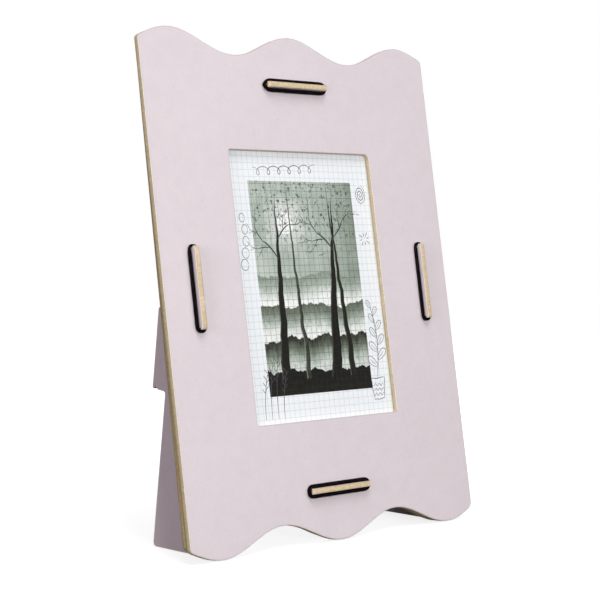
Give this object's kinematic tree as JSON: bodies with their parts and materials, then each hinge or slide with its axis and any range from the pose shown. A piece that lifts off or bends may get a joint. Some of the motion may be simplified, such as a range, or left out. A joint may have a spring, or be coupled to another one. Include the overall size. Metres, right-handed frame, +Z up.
{
  "type": "table-top picture frame",
  "caption": "Flat-pack table-top picture frame with a wavy front panel, a window over a print, wedge legs, keys and rubber rings that clamp it together.",
  "frame": {"origin": "on the table, in the middle of the ground that the frame covers", "axes": "+Z up, -Y out of the front panel's painted side, +X to the right for someone who looks at the print"},
  "size_m": [0.2824, 0.076, 0.3659],
  "materials": {
    "painted_board": "matte",
    "paper": "matte",
    "rubber": "satin"
  },
  "bodies": {
    "stand": {"left_leg": "painted_board", "right_leg": "painted_board", "back_board": "painted_board", "print": "paper", "top_key": "painted_board", "bottom_key": "painted_board"},
    "front": {"front_panel": "painted_board"},
    "top_ring": {"top_ring": "rubber"},
    "bottom_ring": {"bottom_ring": "rubber"},
    "left_ring": {"left_ring": "rubber"},
    "right_ring": {"right_ring": "rubber"}
  },
  "joints": [
    {"name": "front_lift_off", "type": "slide", "parent": "stand", "child": "front", "axis": [0, -0.9871, 0.1599], "range_m": [0, 0.012], "deforming": ["top_ring", "bottom_ring", "left_ring", "right_ring"]},
    {"name": "top_ring_pull_off", "type": "slide", "parent": "front", "child": "top_ring", "axis": [0, -0.9871, 0.1599], "range_m": [0, 0.007], "deforming": ["top_ring"]},
    {"name": "bottom_ring_pull_off", "type": "slide", "parent": "front", "child": "bottom_ring", "axis": [0, -0.9871, 0.1599], "range_m": [0, 0.007], "deforming": ["bottom_ring"]},
    {"name": "left_ring_pull_off", "type": "slide", "parent": "front", "child": "left_ring", "axis": [0, -0.9871, 0.1599], "range_m": [0, 0.007], "deforming": ["left_ring"]},
    {"name": "right_ring_pull_off", "type": "slide", "parent": "front", "child": "right_ring", "axis": [0, -0.9871, 0.1599], "range_m": [0, 0.007], "deforming": ["right_ring"]}
  ]
}
